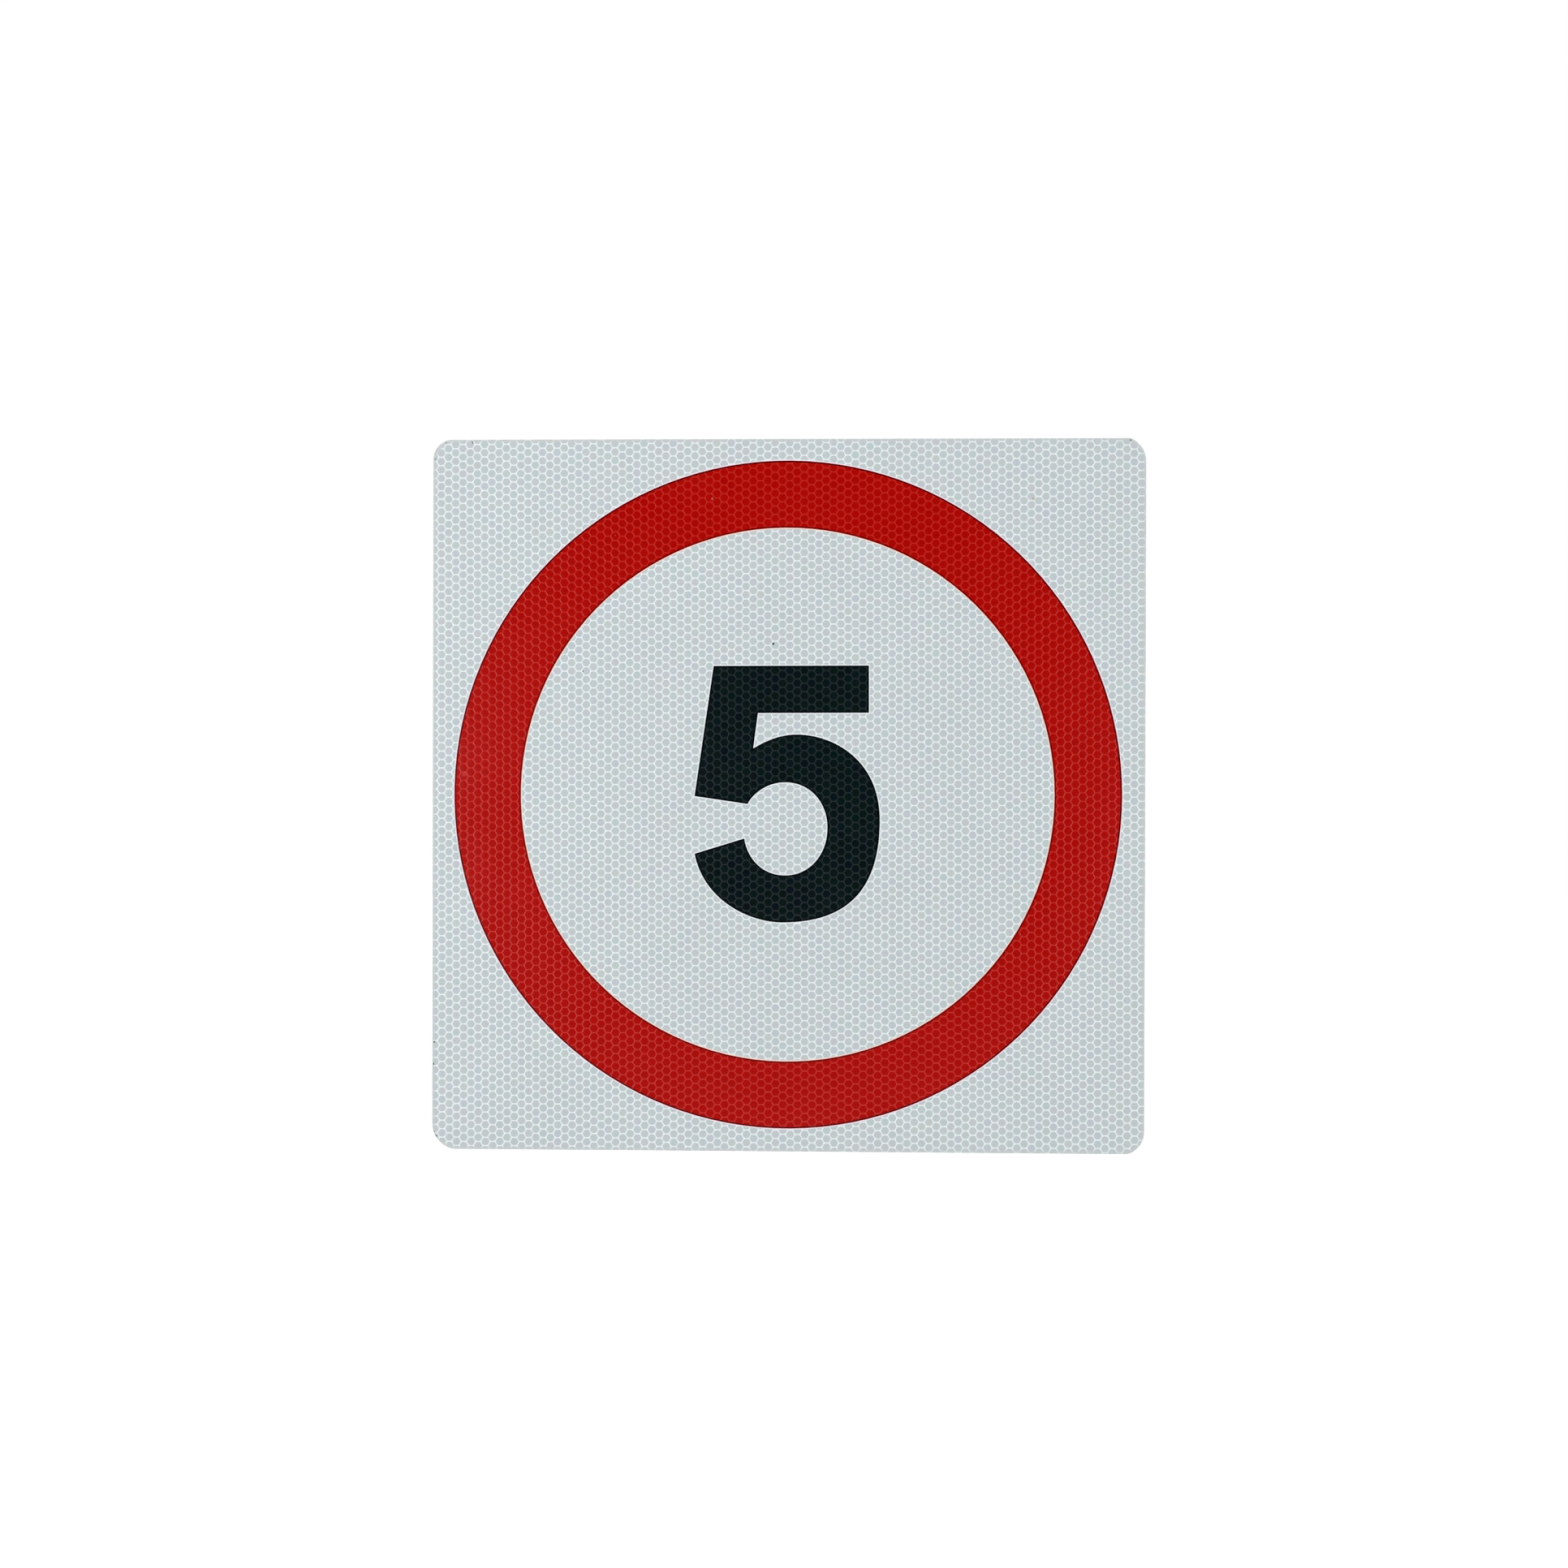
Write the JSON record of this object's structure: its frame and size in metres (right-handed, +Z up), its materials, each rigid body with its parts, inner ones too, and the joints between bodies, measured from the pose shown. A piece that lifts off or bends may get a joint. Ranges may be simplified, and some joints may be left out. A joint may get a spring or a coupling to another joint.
{
  "type": "speed limit sign",
  "caption": "Flat square speed limit sign: metal plate with rounded corners, white honeycomb reflective sheeting, red ring and black figure 5.",
  "frame": {"origin": "centre of the plate's flat back face", "axes": "the sign stands upright: +Z up, +X to the right seen from the front, the face looks towards -Y and the back towards +Y"},
  "size_m": [0.3, 0.0025, 0.3],
  "materials": {
    "plate_metal": "mill finish sheet, faint rolling grain",
    "white_sheeting": "smooth glossy film over sealed honeycomb cells, silvery white",
    "red_on_sheeting": "see-through red over the sheeting, its cells show",
    "black_on_sheeting": "near-opaque black over the sheeting, its cells show faintly"
  },
  "bodies": {
    "root": {"sign_plate": "plate_metal", "reflective_sheeting": "white_sheeting", "red_ring": "red_on_sheeting", "numeral_five": "black_on_sheeting"}
  },
  "joints": []
}
